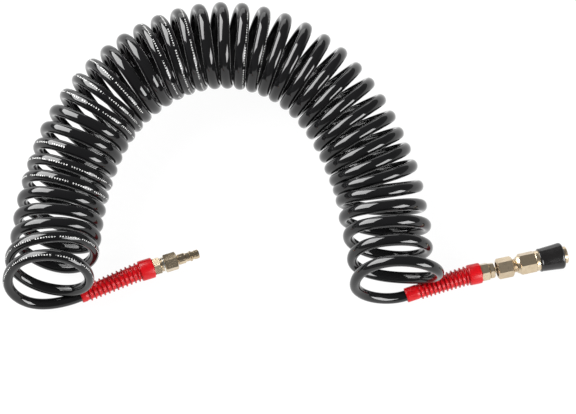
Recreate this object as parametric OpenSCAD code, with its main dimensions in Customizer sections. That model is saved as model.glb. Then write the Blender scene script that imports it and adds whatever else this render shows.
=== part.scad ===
// Coiled air hose with a quick-connect plug at one end and a quick coupler at
// the other. Millimetres, +Z up. The coil lies on a flat surface, bent into an
// arch whose open side faces -Y; both ends lead off towards +X.

/* [Hose] */
// Outside diameter of the hose itself
hose_od = 10; // [9.5:0.1:10.2]
// Bore of the hose
hose_id = 6.5; // [6.5:0.1:7]
// Outside diameter of one turn of the coil
coil_od = 83.4; // [70:0.2:84]

/* [Fitting axes] */
// Direction of the plug's axis, turned from +X towards +Y, in degrees
plug_yaw = 19; // [10:0.5:20]
// Direction of the coupler's axis, turned from +X towards +Y, in degrees
coupler_yaw = 13.3; // [8:0.1:16]
// Height of the plug's axis over the surface
plug_axis_z = 9.8; // [9.8:0.1:11]
// Height of the coupler's axis over the surface
coupler_axis_z = 12.6; // [12.5:0.1:14]

/* [Kink sleeves] */
// Length of a kink sleeve, from its small end to the face of its collar
sleeve_len = 73; // [68:1:78]
// Length of the plain collar at the fitting's end
collar_len = 12.5; // [12:0.5:14]
// Outside diameter of that collar
collar_od = 19.4; // [18:0.2:19.4]
// Number of ribs
rib_count = 12; // [9:1:13]
// How far the plug's sleeve bends just behind its collar, in degrees
plug_sleeve_bend = 5.5; // [0:0.5:14]
// How far the coupler's sleeve bends just behind its collar, in degrees
coupler_sleeve_bend = 4.5; // [0:0.5:10]

/* [Hex sizes] */
// Across flats of the plug stem's hex
plug_stem_af = 15; // [14:0.5:17]
// Across flats of the plug's hex
plug_af = 15; // [14:0.5:17]
// Across flats of the coupler stem's hex
coupler_stem_af = 15; // [14:0.5:15]
// Across flats of the union nut
union_af = 17; // [17:0.5:19]
// Across flats of the coupler's rear body
coupler_af = 18; // [18:0.5:20]

/* [Coupler] */
// Radius of the socket bore that takes the plug
socket_r = 5.1; // [5.1:0.01:5.15]
// Radius of a locking ball
ball_r = 1.75; // [1.7:0.01:1.75]
// How far the locking sleeve pulls back
sleeve_travel = 3.5; // [3:0.1:3.5]
// Turns of the locking sleeve's spring
sleeve_spring_turns = 5; // [3:1:6]
// Turns of the valve's spring
valve_spring_turns = 4; // [3:1:5]

/* [Hidden] */

// moves the whole object so that its box stands centred over the origin
shift = [4, -4];

// The coil's centreline on the surface, from the plug's end round to the
// coupler's end.
route = [[-224, -137], [-223, -118], [-221, -84], [-217, -51], [-210, -18],
    [-199, 15], [-183, 45], [-163, 72], [-137, 94], [-107, 109], [-74, 116],
    [-40, 113], [-9, 100], [18, 79], [39, 53], [56, 23], [68, -9], [77, -41],
    [83, -75], [88, -108], [91, -133]];

// Where each tail of hose runs between the coil and its kink sleeve.
plug_tail = [[-226, -142, 5], [-219, -142, 5.2], [-212.5, -142, 5.8], [-207, -141.6, 6.4],
    [-202, -140.3, 7]];
coupler_tail = [[78, -138, 5], [84.5, -138, 5.1], [90.5, -137.7, 5.9], [96.5, -136.9, 6.7]];

// Where each kink sleeve's collar ends and its fitting begins.
plug_at = [-131.5, -107.1];
coupler_at = [174, -114.2];

hr = hose_od / 2;
hb = hose_id / 2;
red = [0.80, 0.02, 0.05];
brass = [0.72, 0.66, 0.50];
black = [0.05, 0.05, 0.055];

// ---- small vector helpers -------------------------------------------------
function unit(v) = v / norm(v);
// point i of a list, with its ends carried on in a straight line
function pt(P, i) = i < 0 ? 2 * P[0] - P[1]
    : i >= len(P) ? 2 * P[len(P) - 1] - P[len(P) - 2] : P[i];
// smooth curve through the points: n steps to each interval
function smooth(P, n) = [for (i = [0 : len(P) - 2], k = [0 : n - 1])
    let (t = k / n, a = pt(P, i - 1), b = P[i], c = P[i + 1], d = pt(P, i + 2))
    0.5 * (2 * b + (c - a) * t + (2 * a - 5 * b + 4 * c - d) * t * t
        + (3 * b - a - 3 * c + d) * t * t * t), P[len(P) - 1]];
function dir_at(P, i) = unit(P[min(i + 1, len(P) - 1)] - P[max(i - 1, 0)]);
// a ring of s corners round point p, square to direction t; its flats face
// straight up, down and to the sides
function ring(p, t, r, s) = let (n = unit([-t.y, t.x, 0]), b = cross(t, n))
    [for (k = [0 : s - 1]) let (a = 360 * (k + 0.5) / s)
        p + r / cos(180 / s) * (cos(a) * n + sin(a) * b)];

// A solid swept along P with outside radii ro; with bore radii ri it is a pipe.
module sweep(P, ro, s, ri = undef, t0 = undef, t1 = undef) {
    m = len(P);
    T = [for (i = [0 : m - 1]) i == 0 && !is_undef(t0) ? t0
        : i == m - 1 && !is_undef(t1) ? t1 : dir_at(P, i)];
    outer = [for (i = [0 : m - 1]) each ring(P[i], T[i], ro[i], s)];
    skin = [for (i = [0 : m - 2], k = [0 : s - 1]) let (j = (k + 1) % s)
        each [[i * s + k, i * s + j, (i + 1) * s + j],
              [i * s + k, (i + 1) * s + j, (i + 1) * s + k]]];
    if (is_undef(ri)) {
        polyhedron(outer, concat(
            [for (f = skin) [f[2], f[1], f[0]]],
            [[for (k = [0 : s - 1]) k]],
            [[for (k = [s - 1 : -1 : 0]) (m - 1) * s + k]]));
    } else {
        inner = [for (i = [0 : m - 1]) each ring(P[i], T[i], ri[i], s)];
        o = m * s;
        polyhedron(concat(outer, inner), concat(
            [for (f = skin) [f[2], f[1], f[0]]],
            [for (f = skin) [o + f[0], o + f[1], o + f[2]]],
            [for (k = [0 : s - 1]) let (j = (k + 1) % s) [k, j, o + j, o + k]],
            [for (k = [0 : s - 1]) let (j = (k + 1) % s, e = (m - 1) * s)
                [e + j, e + k, o + e + k, o + e + j]]));
    }
}

// ---- the two fitting axes --------------------------------------------------
// Local +X runs out along the fitting, with 0 at the collar's face.
module on_plug() translate([plug_at.x + shift.x, plug_at.y + shift.y, plug_axis_z])
    rotate([0, 0, plug_yaw]) children();
module on_coupler() translate([coupler_at.x + shift.x, coupler_at.y + shift.y, coupler_axis_z])
    rotate([0, 0, coupler_yaw]) children();
// a turned piece: its outline is a list of [radius, distance along the axis]
module turned(outline, fn = 64) rotate([0, 90, 0])
    rotate_extrude($fn = fn) polygon(outline);
// a hexagon bar from a to b, its corners turned off at both ends
module hex_bar(af, a, b, turn = 0, ca = 0.9, cb = 0.9) {
    rc = af / 2 / cos(30);
    intersection() {
        translate([a, 0, 0]) rotate([0, 90, 0]) rotate([0, 0, turn])
            cylinder(r = rc, h = b - a, $fn = 6);
        turned([[0, a], [af / 2 - 0.25, a], [rc + 0.05, a + ca],
            [rc + 0.05, b - cb], [af / 2 - 0.25, b], [0, b]]);
    }
}
module bore(r, a, b) translate([a, 0, 0]) rotate([0, 90, 0])
    cylinder(r = r, h = b - a, $fn = 64);

// ---- the path inside a kink sleeve, measured back from the collar's face ---
// straight for bend_a, then an arc of bend_l, then straight; it sinks by drop
bend_a = 10;
bend_l = 12;
function back_pt(s, bend, drop) = let (k = max(bend, 0.01) / bend_l,
        u = min(max(0, s - bend_a), bend_l), f = k * u,
        w = max(0, s - bend_a - bend_l))
    [-min(s, bend_a) - sin(f) / (k * PI / 180) - w * cos(f),
     -(1 - cos(f)) / (k * PI / 180) - w * sin(f),
     -drop * pow(max(0, s - bend_a) / (sleeve_len - bend_a), 1.5)];
function place(p, at, z, yaw) = [
    at.x + p.x * cos(yaw) - p.y * sin(yaw),
    at.y + p.x * sin(yaw) + p.y * cos(yaw), z + p.z];

// A ribbed sleeve: small collar, thin ribs with wide grooves between them, big collar.
function sleeve_stations() = let (a = 12.5, b = sleeve_len - collar_len,
        p = (b - a) / rib_count)
    concat([[0, 6.6], [0.6, 6.9], [a - 0.3, 7.0]],
        [for (i = [0 : rib_count - 1]) let (s = a + i * p, g = i / (rib_count - 1),
            lo = 6.7 + 0.7 * g, hi = 8.25 + 0.95 * g)
            each [[s + 0.1, lo], [s + p * 0.5, lo], [s + p * 0.58, hi], [s + p * 0.92, hi]]],
        [[b + 0.1, 7.4], [b + 1.3, 7.5], [b + 2.0, collar_od / 2 - 0.3],
         [b + 3, collar_od / 2], [sleeve_len - 1.5, collar_od / 2],
         [sleeve_len, collar_od / 2 - 0.5]]);
module kink_sleeve(bend, drop) {
    st = sleeve_stations();
    b = sleeve_len - collar_len;
    P = [for (q = st) back_pt(sleeve_len - q[0], bend, drop)];
    sweep(P, [for (q = st) q[1]], 16,
        [for (q = st) q[0] < b + 1 ? hr + 0.3 : q[0] < b + 1.6 ? hr + 0.3 : 6.6],
        t1 = [1, 0, 0]);
}

// ---- the hose --------------------------------------------------------------
module hose_coil() {
    c2 = smooth(route, 2);
    P = [for (q = c2) [q.x + shift.x, q.y + shift.y, coil_od / 2]];
    color(black) sweep(P, [for (q = P) coil_od / 2], 12,
        t0 = [0, 1, 0], t1 = [0, -1, 0]);
}
module tail(list, at, z, yaw, bend, drop) {
    inside = [for (s = [sleeve_len, 56, 40, 22, 16, 10]) place(back_pt(s, bend, drop), at, z, yaw)];
    out = place([1, 0, 0], at, z, yaw);
    P = [for (q = concat(list, inside, [out])) q + [shift.x, shift.y, 0]];
    sweep(P, [for (q = P) hr], 12, [for (q = P) hb], t0 = [1, 0, 0],
        t1 = [cos(yaw), sin(yaw), 0]);
}
module hose_tail_plug_end() color(black)
    tail(plug_tail, plug_at, plug_axis_z, plug_yaw, plug_sleeve_bend, 2);
module hose_tail_coupler_end() color(black)
    tail(coupler_tail, coupler_at, coupler_axis_z, coupler_yaw, coupler_sleeve_bend, 5);

// ---- pieces that both ends have -------------------------------------------
// the crimped ferrule that holds the hose on its stem
module ferrule() turned([[hr + 0.35, -10.6], [6.1, -10.6], [6.3, -10.1], [6.3, -8],
    [6.0, -7.7], [6.0, -6], [6.3, -5.7], [6.3, -3.6], [6.0, -3.3],
    [6.0, -2.2], [6.3, -1.9], [6.3, -0.2], [hr + 0.35, -0.2]]);
// outline of the spigot inside the hose, with three barbs; r0 is its bore
function spigot(r0) = let (a = hb - 0.3, b = hb - 0.05) [[r0, -12.5], [a - 0.3, -12.5],
    [b, -10.5], [a, -10.5], [a, -9], [b, -7], [a, -7], [a, -5.5], [b, -3.5],
    [a, -3.5], [a, 1.05]];

// ---- plug end ---------------------------------------------------------------
module plug_kink_sleeve() color(red) on_plug() kink_sleeve(plug_sleeve_bend, 2);
module plug_hose_ferrule() color(brass) on_plug() ferrule();
module plug_hose_stem() color(brass) on_plug() difference() {
    union() {
        turned(concat(spigot(0.5), [[4.6, 1.05], [4.6, 9.4], [0.5, 9.4]]));
        difference() {
            hex_bar(plug_stem_af, 0.1, 7.2, turn = 24);
            bore(hr + 0.3, 0, 1.05);
        }
        turned([[0, 7.1], [5.6, 7.1], [5.6, 7.9], [6.5, 7.9], [6.5, 9.4], [0, 9.4]]);
        turned([[0, 9.3], [4.2, 9.3], [4.2, 11.2], [4.8, 11.8], [4.8, 19.2],
            [4.2, 20], [0, 20]]);
    }
    bore(2.1, -16, 21);
}
module plug_sealing_washer() color([0.85, 0.83, 0.78]) on_plug()
    turned([[5.0, 9.4], [6.9, 9.4], [7.0, 9.55], [7.0, 10.75], [6.9, 10.9], [5.0, 10.9]]);
module quick_plug() color(brass) on_plug() difference() {
    union() {
        hex_bar(plug_af, 10.9, 23.3, turn = 9);
        turned([[0, 23.2], [4.4, 23.2], [4.4, 24.3], [4.6, 24.3], [5.0, 24.7],
            [5.0, 30.8], [4.1, 31.8], [4.1, 35.3], [4.9, 36.1], [4.9, 37.5],
            [3.9, 38.1], [3.9, 39.9], [4.25, 40.3], [4.25, 43.9], [3.6, 44.8],
            [0, 44.8]]);
    }
    bore(4.88, 10, 20.6);
    bore(2.6, 20, 46);
}

// ---- coupler end: stem and union ------------------------------------------
module coupler_kink_sleeve() color(red) on_coupler() kink_sleeve(coupler_sleeve_bend, 5);
module coupler_hose_ferrule() color(brass) on_coupler() ferrule();
module coupler_hose_stem() color(brass) on_coupler() difference() {
    union() {
        turned(concat(spigot(0.5), [[4.6, 1.05], [4.6, 9], [0.5, 9]]));
        difference() {
            hex_bar(coupler_stem_af, 0.1, 8.2, turn = 34);
            bore(hr + 0.3, 0, 1.05);
        }
        turned([[0, 8.1], [5.8, 8.1], [5.8, 8.8], [0, 8.8]]);
        hex_bar(13.4, 8.7, 13, turn = 34, ca = 0.4, cb = 1.1);
        // the neck, and the flange that the union nut pulls up
        turned([[0, 12.9], [3.2, 12.9], [2.6, 13.6], [2.6, 24.6], [5.8, 24.6],
            [5.8, 27], [0, 27]]);
    }
    bore(1.6, -16, 28);
}
module union_nut() color(brass) on_coupler() difference() {
    hex_bar(union_af, 16, 31, turn = 52, ca = 1.1, cb = 1.3);
    bore(6.9, 15, 21.6);
    bore(2.65, 21, 25);
    bore(6.6, 24.3, 32);
}
module union_seal() color(black) on_coupler()
    turned([[3.0, 27.05], [5.5, 27.05], [5.5, 27.95], [3.0, 27.95]]);

// ---- coupler: rear body, valve and socket -----------------------------------
module coupler_rear_body() color(brass) on_coupler() difference() {
    union() {
        // threaded spigot for the union nut
        turned(concat([[0, 28], [5.9, 28]],
            [for (i = [0 : 3]) each [[5.9, 28.2 + i * 1.5], [6.5, 28.75 + i * 1.5],
                [6.5, 29.05 + i * 1.5], [5.9, 29.6 + i * 1.5]]],
            [[5.9, 35.1], [0, 35.1]]));
        // a shoulder that widens up to the hex
        turned([[0, 35], [7.4, 35], [7.6, 35.2], [8.6, 37.3], [0, 37.3]]);
        hex_bar(coupler_af, 37.2, 53, turn = 39, ca = 1.3, cb = 0.7);
        turned([[0, 52.9], [9.3, 52.9], [9.5, 53.2], [9.5, 56.8], [9.3, 57], [0, 57]]);
    }
    bore(3.5, 27, 50);
    bore(7.62, 49.4, 58);
}
module body_seal() color(black) on_coupler()
    turned([[5.3, 49.4], [7.4, 49.4], [7.4, 50], [5.3, 50]]);
module socket_body() color(brass) on_coupler() difference() {
    turned([[0, 50], [7.6, 50], [7.6, 57.4], [8.9, 57.4], [8.9, 59], [7.6, 59],
        [7.6, 77.5], [7.1, 77.5], [7.1, 78.55], [7.6, 78.55], [7.6, 80.4],
        [8.0, 80.4], [8.0, 82.9], [7.5, 83.5], [0, 83.5]]);
    bore(5.9, 49, 61.5);
    bore(3.35, 61, 66);
    bore(4.4, 62.8, 68);
    bore(socket_r, 66.6, 76.4);
    // relief between the balls and the mouth's own bore
    bore(socket_r + 0.4, 76.2, 76.9);
    bore(socket_r + 0.05, 76.8, 84);
    // the plug's seal sits in this groove
    turned([[0, 67.4], [6.4, 67.4], [6.4, 69.4], [0, 69.4]]);
    // lead-in at the mouth
    turned([[0, 83.0], [socket_r, 83.0], [socket_r + 0.6, 83.6], [0, 83.6]]);
    // a tapered hole for each ball, which can't fall through
    for (i = [0 : 5]) translate([74.3, 0, 0]) rotate([i * 60, 0, 0]) {
        translate([0, 0, 5.69]) cylinder(r = ball_r + 0.06, h = 3, $fn = 48);
        translate([0, 0, 4.9]) cylinder(r1 = 1.54, r2 = 1.83, h = 0.8, $fn = 48);
        translate([0, 0, 4.2]) cylinder(r = 1.54, h = 0.72, $fn = 48);
    }
    // four notches across the mouth ring
    for (i = [0 : 3]) rotate([i * 90 + 20, 0, 0]) translate([82, -0.9, 6.6])
        cube([2, 1.8, 2]);
}
module socket_plug_seal() color(black) on_coupler() rotate([0, 90, 0])
    rotate_extrude($fn = 64) translate([5.45, 68.4]) circle(r = 0.9, $fn = 32);
module valve_poppet() color(brass) on_coupler() difference() {
    turned([[0, 57.5], [5.4, 57.5], [5.4, 60.4], [3.3, 60.4], [3.3, 66.2],
        [2.9, 66.6], [0, 66.6]]);
    bore(2.2, 61.6, 67);
    // side ports that let the air past once the valve is open
    for (i = [0 : 3]) translate([62.6, 0, 0]) rotate([i * 90, 0, 0])
        cylinder(r = 0.8, h = 5, $fn = 24);
}
module valve_seal() color(black) on_coupler()
    turned([[3.35, 60.45], [5.2, 60.45], [5.2, 61.4], [3.35, 61.4]]);

// a compression spring from a to b along the axis, its end turns closed up
module spring(a, b, rm, w, turns) {
    per = 16;
    s = 6;
    n = (turns + 2) * per;
    function along(i) = let (u = i / per) u < 1 ? u * w * 2.05
        : u > turns + 1 ? (b - a) - w * 2 - (turns + 2 - u) * w * 2.05
        : w * 2.05 + (u - 1) / turns * ((b - a) - w * 2 - w * 4.1);
    P = [for (i = [0 : n]) [a + w + along(i), rm * cos(i * 360 / per), rm * sin(i * 360 / per)]];
    T = [for (i = [0 : n]) unit(P[min(i + 1, n)] - P[max(i - 1, 0)])];
    V = [for (i = [0 : n]) let (t = T[i],
            q = unit([0, P[i].y, P[i].z]), x = unit(cross(t, q)), y = cross(x, t))
        each [for (k = [0 : s - 1]) P[i] + w * (cos(k * 360 / s) * y + sin(k * 360 / s) * x)]];
    polyhedron(V, concat(
        [for (i = [0 : n - 1], k = [0 : s - 1]) let (j = (k + 1) % s)
            each [[i * s + k, i * s + j, (i + 1) * s + j],
                  [i * s + k, (i + 1) * s + j, (i + 1) * s + k]]],
        [[for (k = [s - 1 : -1 : 0]) k]],
        [[for (k = [0 : s - 1]) n * s + k]]));
}
module valve_spring() color([0.7, 0.7, 0.72]) on_coupler()
    spring(49.45, 57.4, 4.6, 0.4, valve_spring_turns);

// ---- coupler: locking sleeve ------------------------------------------------
module lock_ball(i) color([0.8, 0.8, 0.82]) on_coupler() rotate([i * 60, 0, 0])
    translate([74.3, 0, 5.9]) sphere(r = ball_r, $fn = 48);
module locking_sleeve() color(brass) on_coupler()
    turned([[9.3, 60.6], [10.0, 60.6], [10.0, 62], [10.35, 62.4], [10.35, 77],
        [10.0, 77.6], [10.0, 79.3], [8.75, 79.3], [8.75, 77.6],
        [7.68, 73.8], [7.68, 66.5], [9.3, 66.5]]);
module sleeve_cover() color(black) on_coupler()
    turned([[9.65, 56.6], [10.6, 56.6], [10.9, 57.0], [11.0, 57.9], [10.8, 58.6],
        [11.1, 62], [11.9, 72], [12.3, 76], [12.4, 77.5], [12.1, 78.6],
        [11.2, 79.6], [10.1, 79.9], [8.75, 79.9], [8.75, 79.35], [10.05, 79.35],
        [10.05, 77.62], [10.4, 77.02], [10.4, 62.38], [10.05, 61.98],
        [10.05, 60.55], [9.65, 60.55]]);
module sleeve_spring() color([0.7, 0.7, 0.72]) on_coupler()
    spring(59.05, 66.45, 8.45, 0.45, sleeve_spring_turns - 1);
module sleeve_stop_ring() color([0.75, 0.75, 0.77]) on_coupler() rotate([0, 90, 0])
    rotate([0, 0, 30]) rotate_extrude(angle = 318, $fn = 64)
        translate([7.15, 77.6]) square([1.3, 0.85]);

hose_coil();
hose_tail_plug_end();
hose_tail_coupler_end();
plug_kink_sleeve();
plug_hose_ferrule();
plug_hose_stem();
plug_sealing_washer();
quick_plug();
coupler_kink_sleeve();
coupler_hose_ferrule();
coupler_hose_stem();
union_nut();
union_seal();
coupler_rear_body();
body_seal();
socket_body();
socket_plug_seal();
valve_poppet();
valve_seal();
valve_spring();
lock_ball(0);  // lock_ball_1
lock_ball(1);  // lock_ball_2
lock_ball(2);  // lock_ball_3
lock_ball(3);  // lock_ball_4
lock_ball(4);  // lock_ball_5
lock_ball(5);  // lock_ball_6
locking_sleeve();
sleeve_cover();
sleeve_spring();
sleeve_stop_ring();
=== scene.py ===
"""Looks for a coiled air hose: a glossy black recoil hose, ribbed red kink
sleeves, a quick-connect plug and a quick coupler. Metres, +Z up."""
import math

import bpy
import numpy as np
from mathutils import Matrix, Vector


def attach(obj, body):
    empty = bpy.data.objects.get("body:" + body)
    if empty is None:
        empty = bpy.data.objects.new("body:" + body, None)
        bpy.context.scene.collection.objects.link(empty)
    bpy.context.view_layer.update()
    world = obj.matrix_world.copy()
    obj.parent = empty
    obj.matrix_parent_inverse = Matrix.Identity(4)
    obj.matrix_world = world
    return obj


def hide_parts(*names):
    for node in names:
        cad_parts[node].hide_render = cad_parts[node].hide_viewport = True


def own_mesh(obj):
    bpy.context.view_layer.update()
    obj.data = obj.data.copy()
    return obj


for old in ("Cube", "Light", "Camera"):
    if old in bpy.data.objects:
        bpy.data.objects.remove(bpy.data.objects[old], do_unlink=True)

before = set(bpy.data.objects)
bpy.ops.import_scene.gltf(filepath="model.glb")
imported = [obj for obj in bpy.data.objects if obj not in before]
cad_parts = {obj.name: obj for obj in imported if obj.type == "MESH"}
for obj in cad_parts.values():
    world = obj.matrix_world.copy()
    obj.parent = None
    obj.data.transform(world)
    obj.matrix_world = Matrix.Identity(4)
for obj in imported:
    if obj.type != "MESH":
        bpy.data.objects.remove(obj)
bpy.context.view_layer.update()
scene = bpy.context.scene
MM = 0.001

# ---------------------------------------------------------------- the camera
ELEVATION = 61.82
cam_data = bpy.data.cameras.new("camera")
cam_data.lens, cam_data.sensor_width, cam_data.sensor_fit = 154.0, 36.0, "HORIZONTAL"
cam_data.clip_start, cam_data.clip_end = 0.05, 60.0
cam = bpy.data.objects.new("camera", cam_data)
cam.location = (-0.0014, -1.1493, 2.0673)
cam.rotation_euler = (math.radians(90 - ELEVATION), 0, 0)
scene.collection.objects.link(cam)
scene.camera = cam

# ------------------------------------------------------- where the hose runs
# Millimetres until it is made into a mesh.
HOSE_R = 5.1        # the hose where it runs free
OVAL = (4.7, 5.6)   # in the coil it is pressed oval: towards the turn's middle, and across
TURN_R = 37.3       # from a turn's middle to the hose's middle
TURNS = 38
# the coil: x, y of its centre line on the floor, turns so far, how far the
# turns there are yawed and leant from square to that line, in degrees, and how
# far they bow out of their own plane, mm
COIL = [
    (-218.5, -152.0, 0.05, -7.4, 15.3, 1.2, 1.6), (-217.5, -118.5, 1.37, -2.1, 5.1, 1.7, -0.8),
    (-215.7, -88.7, 3, 2.8, -5.7, 0.9, -0.8), (-211.5, -54.2, 4.95, 6.7, -12.3, 0.2, 0.4),
    (-204.3, -20.8, 6.99, 8.7, -13.8, 0.4, 0.4), (-193.9, 11.8, 9.02, 9.5, -13.7, 1.2, -0.6),
    (-178.5, 41.9, 11.03, 9.9, -12.8, 1.5, -0.7), (-157.8, 68.6, 13.04, 10.6, -12.9, -0.4, 1.0),
    (-131.5, 90.8, 15.06, 9.3, -10.5, -1.8, 0.6), (-103.3, 105.6, 17.1, 5.7, -5.3, -1.1, 0.8),
    (-70.2, 112.7, 19.15, 1.1, 1.0, -0.4, 0.9), (-36.6, 110.1, 21.16, -2.9, 7.7, -0.0, 0.4),
    (-5.0, 98.0, 23.11, -5.3, 14.1, 0.0, -0.0), (21.9, 77.9, 25.02, -6.9, 19.0, 0.0, -0.4),
    (43.2, 52.3, 26.95, -7.2, 22.6, 0.5, -0.3), (60.3, 22.5, 28.92, -6.4, 24.7, 0.8, -0.1),
    (73.1, -9.0, 30.94, -3.9, 26.3, -0.1, 0.0), (82.7, -40.1, 32.93, 1.7, 25.4, -1.0, -0.0),
    (87.9, -74.2, 34.76, 8.1, 16.5, -0.7, -0.5), (94.5, -109.1, 36.37, 14.8, 5.7, -0.3, -0.0),
    (104.3, -140.3, 37.77, 22.3, -3.8, 1.1, 1.8)]
# how far the end turns stand from that even winding: turn, mm along the line,
# mm wider
FIRST_TURNS = [(0.0, 20.0, -3.1), (0.25, 5.5, 2.9), (0.5, -0.3, 2.5), (0.75, -7.2, -2.5),
               (1.0, 2.0, -1.0), (1.25, -0.9, 1.9), (1.5, 0.2, -0.1), (2.0, 0.0, 0.0)]
LAST_TURNS = [(36.0, 0.0, 0.0), (36.5, 0.6, -5.0), (37.0, -0.7, 5.0), (37.25, 7.1, -3.9),
              (37.5, 11.0, 4.6), (37.75, 9.1, 10.1), (38.0, -10.8, -2.0)]
# the two fittings: where the sleeve's collar ends, the axis's yaw, and how the
# sleeve bends and sinks behind the collar
PLUG = {"at": (-127.5, -111.1, 9.8), "yaw": 19.0, "bend": 5.5, "drop": 2.0}
COUPLER = {"at": (178.0, -118.2, 12.6), "yaw": 13.3, "bend": 4.5, "drop": 5.0}
SLEEVE_LEN = 73.0
STEM_R = 5.0        # the hose where a stem and its ferrule hold it


def curve_through(xs, ys, x):
    """A smooth curve through (xs, ys), whose steps may be uneven."""
    xs, ys = np.asarray(xs, float), np.asarray(ys, float)
    slope = np.gradient(ys, xs, axis=0)
    i = np.clip(np.searchsorted(xs, x) - 1, 0, len(xs) - 2)
    h = xs[i + 1] - xs[i]
    t = (x - xs[i]) / h
    if ys.ndim > 1:
        h, t = h[:, None], t[:, None]
    return ((2 * t**3 - 3 * t**2 + 1) * ys[i] + (t**3 - 2 * t**2 + t) * h * slope[i]
            + (3 * t**2 - 2 * t**3) * ys[i + 1] + (t**3 - t**2) * h * slope[i + 1])


def unit(v):
    return v / np.linalg.norm(v, axis=-1, keepdims=True)


# turn count, shift in y and z: the end turns lie over the kink sleeves' tails
OVER_PLUG_TAIL = [(0.2, 0, 0), (0.5, -2.1, 4.2), (0.7, -3.3, 6.7), (0.85, -3.8, 8.2), (1.0, -4.0, 8.3),
                  (1.15, -3.8, 7.5), (1.35, -3.2, 6.0), (1.65, -1.9, 3.6), (2.1, 0, 0)]
OVER_COUPLER_TAIL = [(35.8, 0, 0), (36.3, -2.0, 3.5), (36.6, -3.0, 6.1), (36.8, -3.2, 7.7), (36.95, -2.7, 9.2),
                     (37.1, -2.0, 10.5), (37.25, -2.1, 9.0), (37.5, -1.7, 5.0), (37.8, 0, 0)]


def back_along(end, s):
    """The point inside a kink sleeve, s back from its collar's face."""
    k = math.radians(max(end["bend"], 0.01)) / 12.0
    f, w = k * min(max(0.0, s - 10.0), 12.0), max(0.0, s - 22.0)
    x = -min(s, 10.0) - math.sin(f) / k - w * math.cos(f)
    y = -(1 - math.cos(f)) / k - w * math.sin(f)
    z = -end["drop"] * (max(0.0, s - 10.0) / (SLEEVE_LEN - 10.0)) ** 1.5
    c, d = math.cos(math.radians(end["yaw"])), math.sin(math.radians(end["yaw"]))
    return np.array([end["at"][0] + x * c - y * d, end["at"][1] + x * d + y * c,
                     end["at"][2] + z])


def turns_at(u):
    """Points of the coil at turn counts u, and the outward directions there."""
    table = np.array(COIL)
    at = lambda v: curve_through(table[:, 2], table[:, :2], v)
    along = unit(at(u + 1e-3) - at(u - 1e-3))
    zero = 0 * u
    T = np.stack([along[:, 0], along[:, 1], zero], -1)
    N = np.stack([-along[:, 1], along[:, 0], zero], -1)
    Z = np.array([0.0, 0.0, 1.0])
    yaw = np.radians(curve_through(table[:, 2], table[:, 3], u))[:, None]
    lean = np.radians(curve_through(table[:, 2], table[:, 4], u))[:, None]
    N2, Z2 = np.cos(yaw) * N + np.sin(yaw) * T, np.cos(lean) * Z + np.sin(lean) * T
    a = (2 * np.pi * u - np.pi / 2)[:, None]
    out = np.cos(a) * N2 + np.sin(a) * Z2
    # a turn that leans still rests on the floor, and one that is wider grows
    # sideways and upwards
    rest = np.hypot(OVAL[0] * np.cos(lean), OVAL[1] * np.sin(lean))
    centre = np.concatenate([at(u), TURN_R * np.cos(lean) + rest], 1)
    bow = curve_through(table[:, 2], table[:, 5:], u)
    bow = bow[:, :1] * np.cos(2 * a) + bow[:, 1:] * np.sin(2 * a)
    first, last = np.array(FIRST_TURNS), np.array(LAST_TURNS)
    extra = (np.where(u[:, None] < first[-1, 0], curve_through(first[:, 0], first[:, 1:], np.minimum(u, first[-1, 0])), 0)
             + np.where(u[:, None] > last[0, 0], curve_through(last[:, 0], last[:, 1:], np.maximum(u, last[0, 0])), 0))
    grow = np.concatenate([out[:, :2], np.maximum(out[:, 2:], 0)], 1)
    at_u = centre + TURN_R * out + (bow + extra[:, :1]) * T + extra[:, 1:] * grow
    for rows in (OVER_PLUG_TAIL, OVER_COUPLER_TAIL):
        rows = np.array(rows)
        at_u[:, 1:] += curve_through(rows[:, 0], rows[:, 1:], np.clip(u, rows[0, 0], rows[-1, 0]))
    # nothing lies lower than the floor lets it
    round_z = np.interp(u, [1.5, 3, TURNS - 3, TURNS - 1.5], [5.2, 0, 0, 5.2])[:, None]
    at_u[:, 2:] = np.maximum(at_u[:, 2:], np.maximum(rest + 0.15, round_z))
    return at_u, unit(out)


def lead(p, q, dp, dq, n):
    """Points between p and q that leave and arrive in the directions given."""
    size = np.linalg.norm(q - p)
    t = np.linspace(0, 1, n + 1)[1:-1, None]
    return ((2 * t**3 - 3 * t**2 + 1) * p + (t**3 - 2 * t**2 + t) * dp * size
            + (3 * t**2 - 2 * t**3) * q - (t**3 - t**2) * dq * size)


def hose_line(per_turn):
    """The hose's middle from the plug's stem to the coupler's stem."""
    # the winding stops a little short at both ends, so that the leads run smooth
    u = np.linspace(0, TURNS, TURNS * per_turn + 1)[int(per_turn * 0.14):-int(per_turn * 0.2)]
    coil, out = turns_at(u)
    steps = np.arange(-0.9, SLEEVE_LEN, 2.1)
    first = np.array([back_along(PLUG, s) for s in steps])
    last = np.array([back_along(COUPLER, s) for s in steps])[::-1]
    a = lead(first[-1], coil[0], unit(first[-1] - first[-2]), unit(coil[1] - coil[0]) * -1, 22)
    b = lead(coil[-1], last[0], unit(coil[-1] - coil[-2]), unit(last[1] - last[0]) * -1, 22)
    turn = np.concatenate([np.full(len(first) + len(a), -1.0), u, np.full(len(b) + len(last), -1.0)])
    return np.concatenate([first, a, coil, b, last]), out, turn


# ---------------------------------------------------------------- small tools
def mesh_object(name, verts, faces, body, smooth=True):
    me = bpy.data.meshes.new(name)
    me.from_pydata([tuple(v) for v in verts], [], [tuple(f) for f in faces])
    me.validate()
    me.update()
    me.polygons.foreach_set("use_smooth", [smooth] * len(me.polygons))
    o = bpy.data.objects.new(name, me)
    scene.collection.objects.link(o)
    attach(o, body)
    return o


def grid_faces(rings, n, closed_ends=False):
    faces = []
    for i in range(rings - 1):
        for k in range(n):
            j = (k + 1) % n
            faces.append((i * n + k, i * n + j, (i + 1) * n + j, (i + 1) * n + k))
    if closed_ends:
        faces.append(tuple(range(n - 1, -1, -1)))
        faces.append(tuple((rings - 1) * n + k for k in range(n)))
    return faces


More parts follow.
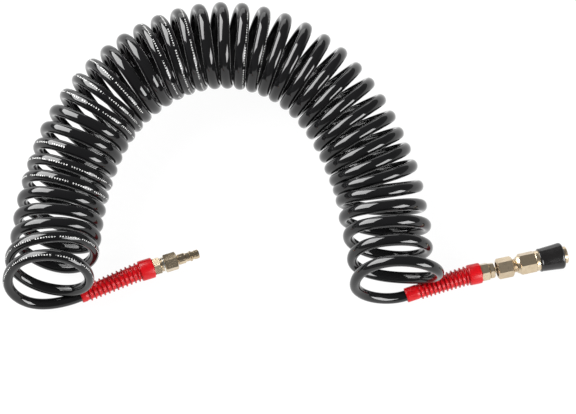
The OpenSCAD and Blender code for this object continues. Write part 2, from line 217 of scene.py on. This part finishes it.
class Nodes:
    """A material's nodes, with short calls to add and join them."""

    def __init__(self, name):
        self.mat = bpy.data.materials.new(name)
        self.mat.use_nodes = True
        self.tree = self.mat.node_tree
        self.shader = self.tree.nodes["Principled BSDF"]

    def add(self, kind, inputs=(), **props):
        n = self.tree.nodes.new(kind)
        for k, v in props.items():
            setattr(n, k, v)
        for k, v in dict(inputs).items():
            self.put(n.inputs[k], v)
        return n

    def put(self, socket, v):
        if isinstance(v, bpy.types.NodeSocket):
            self.tree.links.new(v, socket)
        else:
            socket.default_value = v

    def math(self, op, *vals, clamp=False):
        n = self.tree.nodes.new("ShaderNodeMath")
        n.operation, n.use_clamp = op, clamp
        for s, v in zip(n.inputs, vals):
            self.put(s, v)
        return n.outputs[0]

    def mix(self, t, a, b):
        n = self.tree.nodes.new("ShaderNodeMix")
        n.data_type = "RGBA"
        self.put(n.inputs[0], t)
        self.put(n.inputs[6], a)
        self.put(n.inputs[7], b)
        return n.outputs[2]

    def span(self, v, a, b, lo, hi):
        n = self.tree.nodes.new("ShaderNodeMapRange")
        for s, x in zip(n.inputs, (v, a, b, lo, hi)):
            self.put(s, x)
        return n.outputs[0]

    def set(self, **vals):
        for k, v in vals.items():
            self.put(self.shader.inputs[k.replace("_", " ")], v)
        return self


def noise(m, vector, scale, detail=3.0, rough=0.5):
    return m.add("ShaderNodeTexNoise", {"Vector": vector, "Scale": scale, "Detail": detail, "Roughness": rough}).outputs[0]


# ------------------------------------------------------------------ materials
def hose_material():
    m = Nodes("hose_polyurethane")
    uv = m.add("ShaderNodeUVMap", uv_map="lay").outputs[0]
    parts = m.add("ShaderNodeSeparateXYZ", {0: uv})
    u, v = parts.outputs[0], parts.outputs[1]      # mm along, mm round from the mark
    # a plain broken line of small pale bars along the hose
    bar = m.math("LESS_THAN", m.math("FRACT", m.math("DIVIDE", u, 2.3)), 0.50)
    long_gap = m.math("LESS_THAN", m.math("FRACT", m.math("DIVIDE", u, 21.0)), 0.84)
    run = m.math("MULTIPLY", m.math("LESS_THAN", m.math("FRACT", m.math("DIVIDE", u, 1225.0)), 0.52),
                 m.math("LESS_THAN", u, 6000.0))
    wide = m.math("LESS_THAN", m.math("ABSOLUTE", v), 0.6)
    obj = m.add("ShaderNodeTexCoord").outputs[3]
    worn = m.math("GREATER_THAN", noise(m, obj, 900.0, 2.0), 0.40)
    mark = m.math("MULTIPLY", m.math("MULTIPLY", bar, long_gap), m.math("MULTIPLY", m.math("MULTIPLY", run, wide), worn))
    dust = noise(m, obj, 35.0, 4.0)
    body = m.mix(dust, (0.0035, 0.0035, 0.0038, 1), (0.006, 0.006, 0.0065, 1))
    m.set(Base_Color=m.mix(mark, body, (0.56, 0.56, 0.55, 1)),
          Roughness=m.math("ADD", m.span(dust, 0.3, 0.7, 0.045, 0.085), m.math("MULTIPLY", mark, 0.25)), IOR=1.5)
    wave = noise(m, obj, 70.0, 1.0)
    fine = noise(m, obj, 1400.0, 2.0)
    h = m.math("ADD", m.math("MULTIPLY", wave, 1.0), m.math("MULTIPLY", fine, 0.02))
    bump = m.add("ShaderNodeBump", {"Height": h, "Strength": 0.15, "Distance": 0.0006}).outputs[0]
    m.set(Normal=bump)
    return m.mat


def sleeve_material():
    m = Nodes("kink_sleeve_red")
    obj = m.add("ShaderNodeTexCoord").outputs[3]
    tone = noise(m, obj, 90.0, 3.0)
    fine = noise(m, obj, 1800.0, 3.0)
    m.set(Base_Color=m.mix(tone, (0.44, 0.0005, 0.0035, 1), (0.54, 0.0010, 0.0055, 1)),
          Roughness=m.span(fine, 0.3, 0.7, 0.28, 0.38), IOR=1.42,
          Subsurface_Weight=0.03, Subsurface_Scale=0.001, Subsurface_Radius=(1.0, 0.1, 0.08))
    m.set(Normal=m.add("ShaderNodeBump", {"Height": fine, "Strength": 0.12, "Distance": 0.0003}).outputs[0])
    return m.mat


def metal_material(name, yaw, colour, dark, rough=(0.20, 0.32)):
    """Plated metal with fine machining lines; yaw is the piece's own axis."""
    m = Nodes(name)
    obj = m.add("ShaderNodeTexCoord").outputs[3]
    turned = m.add("ShaderNodeMapping", {"Vector": obj, "Rotation": (0, 0, math.radians(-yaw))}).outputs[0]
    lines = m.add("ShaderNodeMapping", {"Vector": turned, "Scale": (9.0, 1.0, 1.0)}).outputs[0]
    cut = noise(m, lines, 420.0, 3.0, 0.6)
    cloud = noise(m, obj, 160.0, 4.0, 0.6)
    m.set(Base_Color=m.mix(m.span(cloud, 0.25, 0.85, 0.0, 1.0), colour, dark), Metallic=1.0,
          Roughness=m.span(m.math("ADD", m.math("MULTIPLY", cut, 0.5), m.math("MULTIPLY", cloud, 0.5)), 0.35, 0.65, *rough))
    m.set(Normal=m.add("ShaderNodeBump", {"Height": cut, "Strength": 0.09, "Distance": 0.00012}).outputs[0])
    return m.mat


def rubber_material(name, colour, rough, coat=0.0):
    m = Nodes(name)
    obj = m.add("ShaderNodeTexCoord").outputs[3]
    fine = noise(m, obj, 1500.0, 4.0)
    smudge = noise(m, obj, 80.0, 3.0)
    m.set(Base_Color=m.mix(smudge, tuple(c * 0.8 for c in colour) + (1,), tuple(c * 1.25 for c in colour) + (1,)),
          Roughness=m.span(smudge, 0.3, 0.7, rough - 0.05, rough + 0.06), Coat_Weight=coat, Coat_Roughness=0.25)
    m.set(Normal=m.add("ShaderNodeBump", {"Height": fine, "Strength": 0.2, "Distance": 0.0002}).outputs[0])
    return m.mat


GOLD, GOLD_DARK = (0.71, 0.595, 0.43, 1), (0.50, 0.39, 0.26, 1)
MAT = {
    "hose": hose_material(),
    "sleeve": sleeve_material(),
    "stem_metal": metal_material("plated_stem", 19, GOLD, GOLD_DARK, (0.19, 0.28)),
    "plug_metal": metal_material("plated_plug", 19, GOLD, GOLD_DARK, (0.12, 0.20)),
    "coupler_metal": metal_material("plated_coupler", 13.3, GOLD, GOLD_DARK, (0.26, 0.36)),
    "washer": metal_material("washer_plated", 19, (0.88, 0.86, 0.78, 1), (0.78, 0.75, 0.66, 1), (0.14, 0.24)),
    "steel": metal_material("spring_steel", 13.3, (0.62, 0.62, 0.63, 1), (0.48, 0.48, 0.50, 1), (0.2, 0.34)),
    "ball": metal_material("ball_steel", 13.3, (0.76, 0.76, 0.78, 1), (0.68, 0.68, 0.70, 1), (0.06, 0.12)),
    "seal": rubber_material("seal_rubber", (0.014, 0.014, 0.015), 0.55),
    "cover": rubber_material("cover_rubber", (0.0080, 0.0074, 0.0074), 0.22),
}

# ------------------------------------------------------------------- the hose
line, out, turn = hose_line(64)
n_ring = 28
tangent = unit(np.gradient(line, axis=0))
side = np.zeros_like(line)
on = np.nonzero(turn >= 0)[0]
side[on] = out
for i in list(range(on[0] - 1, -1, -1)):
    side[i] = side[i + 1]
for i in range(on[-1] + 1, len(line)):
    side[i] = side[i - 1]
for order in (range(on[0], -1, -1), range(on[-1], len(line)), on):
    prev = None
    for i in order:
        v = side[i] if prev is None or i in (on[0], on[-1]) or turn[i] >= 0 else prev
        v = v - np.dot(v, tangent[i]) * tangent[i]
        side[i] = prev = v / np.linalg.norm(v)
third = np.cross(tangent, side)
# the marking line creeps round the hose from turn to turn
u_all = np.clip(np.where(turn >= 0, turn, np.where(np.arange(len(line)) < on[0], 0.0, float(TURNS))), 0, TURNS)
creep = np.radians(np.interp(u_all, [0, 20, 26, 38], [-35.0, 29.0, 150.0, 200.0]))
run = np.concatenate([[0], np.cumsum(np.linalg.norm(np.diff(line, axis=0), axis=1))])
angles = np.linspace(0, 2 * np.pi, n_ring, endpoint=False) + np.pi
a = -(creep[:, None] + angles[None, :])
held = np.minimum(run, run[-1] - run)
free = np.interp(held, [0, 16, 24], [STEM_R, STEM_R, HOSE_R])
oval = np.interp(held, [90, 190], [0.0, 1.0])
deep = (free + (OVAL[0] - free) * oval)[:, None, None]
broad = (free + (OVAL[1] - free) * oval)[:, None, None]
ring_pts = line[:, None] + deep * np.cos(a)[..., None] * side[:, None] + broad * np.sin(a)[..., None] * third[:, None]
# rounded-off cut ends are hidden in the stems, so plain caps close the tube
hose = mesh_object("hose", ring_pts.reshape(-1, 3) * MM, grid_faces(len(line), n_ring, True), "root")
me = hose.data
layer = me.uv_layers.new(name="lay")
coords = np.zeros((len(me.loops), 2))
loop_vert = np.zeros(len(me.loops), int)
me.loops.foreach_get("vertex_index", loop_vert)
ring_of, k_of = loop_vert // n_ring, loop_vert % n_ring
coords[:, 0] = run[ring_of]
coords[:, 1] = (k_of / n_ring - 0.5) * 2 * np.pi * HOSE_R
start = np.zeros(len(me.polygons), int)
total = np.zeros(len(me.polygons), int)
me.polygons.foreach_get("loop_start", start)
me.polygons.foreach_get("loop_total", total)
for p in np.nonzero(total == 4)[0]:
    s = start[p]
    ks = k_of[s:s + 4]
    if ks.max() == n_ring - 1 and ks.min() == 0:
        coords[s:s + 4, 1] = np.where(ks == 0, np.pi * HOSE_R, coords[s:s + 4, 1])
layer.data.foreach_set("uv", coords.ravel())
me.materials.append(MAT["hose"])
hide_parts("hose_coil", "hose_tail_plug_end", "hose_tail_coupler_end")

# ----------------------------------------------------------- the kink sleeves
def sleeve_outline(a, b):
    """(s from the small end, radius) of the outer skin, edges rounded; the fins
    stand from a to b."""
    pitch = (b - a) / 12
    pts = [(0.0, 6.1), (0.05, 6.45), (0.35, 6.75), (0.9, 6.9), (2.5, 6.93), (a - 2.0, 6.98), (a - 1.0, 7.0), (a - 0.45, 6.98), (a - 0.1, 6.85), (a + 0.05, 6.72)]
    for i in range(12):
        g = i / 11
        lo, hi, s = 6.6 + 0.75 * g, 8.3 + 0.9 * g, a + i * pitch
        pts += [(s + 0.3, lo + 0.02), (s + pitch * 0.28, lo), (s + pitch * 0.46, lo), (s + pitch * 0.54, lo + 0.12),
                (s + pitch * 0.575, lo + 0.45), (s + pitch * 0.59, hi - 0.35), (s + pitch * 0.62, hi - 0.1), (s + pitch * 0.67, hi),
                (s + pitch * 0.80, hi), (s + pitch * 0.855, hi - 0.1), (s + pitch * 0.885, hi - 0.35), (s + pitch * 0.90, lo + 0.45),
                (s + pitch * 0.94, lo + 0.14)]
    pts += [(b + 0.2, 7.4), (b + 1.0, 7.42), (b + 1.35, 7.6), (b + 1.45, 8.4), (b + 1.6, 9.2), (b + 2.0, 9.52), (b + 2.8, 9.67),
            (SLEEVE_LEN - 6, 9.7), (SLEEVE_LEN - 1.1, 9.7), (SLEEVE_LEN - 0.5, 9.6), (SLEEVE_LEN - 0.12, 9.3), (SLEEVE_LEN, 8.95)]
    return pts


def make_sleeve(name, end, node, a, b):
    skin = sleeve_outline(a, b)
    skin += [(SLEEVE_LEN, 6.75), (SLEEVE_LEN - 0.3, 6.55), (62.4, 6.5), (62.0, 5.3), (0.4, 5.3), (0.0, 5.5)]
    n = 72
    path = np.array([back_along(end, SLEEVE_LEN - s) for s in np.linspace(0, SLEEVE_LEN, 293)])
    tang = unit(np.gradient(path, axis=0))
    verts = []
    for s, r in skin:
        x = min(max(s, 0), SLEEVE_LEN) / SLEEVE_LEN * 292
        i = min(int(x), 291)
        p = path[i] + (path[i + 1] - path[i]) * (x - i)
        t = tang[i] + (tang[i + 1] - tang[i]) * (x - i)
        t = t / np.linalg.norm(t)
        b = unit(np.cross(t, np.array([0, 0, 1.0])))
        c = np.cross(b, t)
        ang = np.linspace(0, 2 * np.pi, n, endpoint=False)
        verts.append(p + r * (np.cos(ang)[:, None] * b + np.sin(ang)[:, None] * c))
    verts = np.concatenate(verts) * MM
    m = len(skin)
    faces = []
    for i in range(m):
        for k in range(n):
            j, i2 = (k + 1) % n, (i + 1) % m
            faces.append((i * n + k, i * n + j, i2 * n + j, i2 * n + k))
    o = mesh_object(name, verts, faces, "root")
    o.data.materials.append(MAT["sleeve"])
    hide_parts(node)
    return o


sleeve_a = make_sleeve("plug_sleeve", PLUG, "plug_kink_sleeve", 5.5, 58.5)
sleeve_b = make_sleeve("coupler_sleeve", COUPLER, "coupler_kink_sleeve", 11.5, 59.7)

# ---------------------------------------------------------- wound coil springs
def axis_frame(end):
    y = math.radians(end["yaw"])
    return np.array(end["at"]), np.array([math.cos(y), math.sin(y), 0.0]), np.array([-math.sin(y), math.cos(y), 0.0]), np.array([0, 0, 1.0])


def make_spring(name, node, a, b, mean, wire, turns):
    at, x, y, z = axis_frame(COUPLER)
    per, s = 28, 10
    n = int((turns + 2) * per)
    pts = []
    for i in range(n + 1):
        u = i / per
        if u < 1:
            c = u * wire * 2.05
        elif u > turns + 1:
            c = (b - a) - wire * 2 - (turns + 2 - u) * wire * 2.05
        else:
            c = wire * 2.05 + (u - 1) / turns * ((b - a) - wire * 2 - wire * 4.1)
        t = 2 * math.pi * i / per
        pts.append(at + (a + wire + c) * x + mean * (math.cos(t) * y + math.sin(t) * z))
    pts = np.array(pts)
    tang = unit(np.gradient(pts, axis=0))
    radial = unit(pts - at - ((pts - at) @ x)[:, None] * x)
    e1 = unit(radial - (radial * tang).sum(1)[:, None] * tang)
    e2 = np.cross(tang, e1)
    ang = np.linspace(0, 2 * np.pi, s, endpoint=False)
    v = pts[:, None] + wire * (np.cos(ang)[None, :, None] * e1[:, None] + np.sin(ang)[None, :, None] * e2[:, None])
    o = mesh_object(name, v.reshape(-1, 3) * MM, grid_faces(n + 1, s, True), "coupler")
    o.data.materials.append(MAT["steel"])
    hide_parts(node)
    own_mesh(o)
    return o


make_spring("sleeve_coil_spring", "sleeve_spring", 59.05, 66.45, 8.45, 0.45, 4)
make_spring("valve_coil_spring", "valve_spring", 49.45, 57.4, 4.6, 0.4, 4)

# --------------------------------------------------- finishes on the CAD nodes
FINISH = {
    "stem_metal": ("plug_hose_ferrule", "plug_hose_stem"),
    "plug_metal": ("quick_plug",),
    "washer": ("plug_sealing_washer",),
    "coupler_metal": ("coupler_hose_ferrule", "coupler_hose_stem", "union_nut", "coupler_rear_body",
                      "socket_body", "valve_poppet", "locking_sleeve"),
    "steel": ("sleeve_stop_ring",),
    "ball": tuple(f"lock_ball_{i}" for i in range(1, 7)),
    "seal": ("union_seal", "body_seal", "socket_plug_seal", "valve_seal"),
    "cover": ("sleeve_cover",),
}
for kind, names in FINISH.items():
    for name in names:
        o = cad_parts[name]
        if not o.data.materials:
            o.data.materials.append(MAT[kind])
        for s in o.material_slots:
            s.link = "OBJECT"
            s.material = MAT[kind]

# -------------------------------------------------------------------- the set
floor = bpy.data.objects.new("floor", bpy.data.meshes.new("floor"))
floor.data.from_pydata([(-9, -9, 0), (9, -9, 0), (9, 9, 0), (-9, 9, 0)], [], [(0, 1, 2, 3)])
fm = Nodes("floor_paper")
fm.set(Base_Color=(0.06, 0.06, 0.06, 1), Roughness=0.9, Specular_IOR_Level=0.0,
       Emission_Color=(1, 1, 1, 1), Emission_Strength=0.96)
floor.data.materials.append(fm.mat)
floor.location.z = -0.0004
scene.collection.objects.link(floor)


def softbox(name, azimuth, elevation, distance, width, height, radiance, aim=(-0.02, -0.02, 0.03)):
    """A soft box that lights the object from that compass direction: azimuth 0
    is +Y, 90 is +X."""
    d = bpy.data.lights.new(name, "AREA")
    d.shape, d.size, d.size_y = "RECTANGLE", width, height
    d.energy = radiance * math.pi * width * height
    o = bpy.data.objects.new(name, d)
    a, e = math.radians(azimuth), math.radians(elevation)
    way = Vector((math.sin(a) * math.cos(e), math.cos(a) * math.cos(e), math.sin(e)))
    o.location = Vector(aim) + way * distance
    o.rotation_mode = "QUATERNION"
    o.rotation_quaternion = way.to_track_quat("Z", "Y")
    o.visible_camera = False
    scene.collection.objects.link(o)
    return o


softbox("softbox_back_left", -63, 37, 2.3, 2.4, 2.0, 10.5)
softbox("softbox_front_right", 126, 20, 2.3, 1.6, 1.2, 12.0)
softbox("backdrop_glow", -15, 11, 2.4, 2.3, 0.9, 1.8)

world = bpy.data.worlds.new("studio")
scene.world = world
world.use_nodes = True
wt = world.node_tree
bg = wt.nodes["Background"]
gen = wt.nodes.new("ShaderNodeTexCoord")
sep = wt.nodes.new("ShaderNodeSeparateXYZ")
ramp = wt.nodes.new("ShaderNodeValToRGB")
wt.links.new(gen.outputs["Generated"], sep.inputs[0])
wt.links.new(sep.outputs[2], ramp.inputs[0])
wt.links.new(ramp.outputs[0], bg.inputs[0])
ramp.color_ramp.elements[0].position, ramp.color_ramp.elements[0].color = 0.0, (0.22, 0.22, 0.22, 1)
ramp.color_ramp.elements[1].position, ramp.color_ramp.elements[1].color = 0.45, (0.15, 0.15, 0.152, 1)
bg.inputs[1].default_value = 1.0

scene.view_settings.view_transform = "Standard"
scene.view_settings.look = "None"
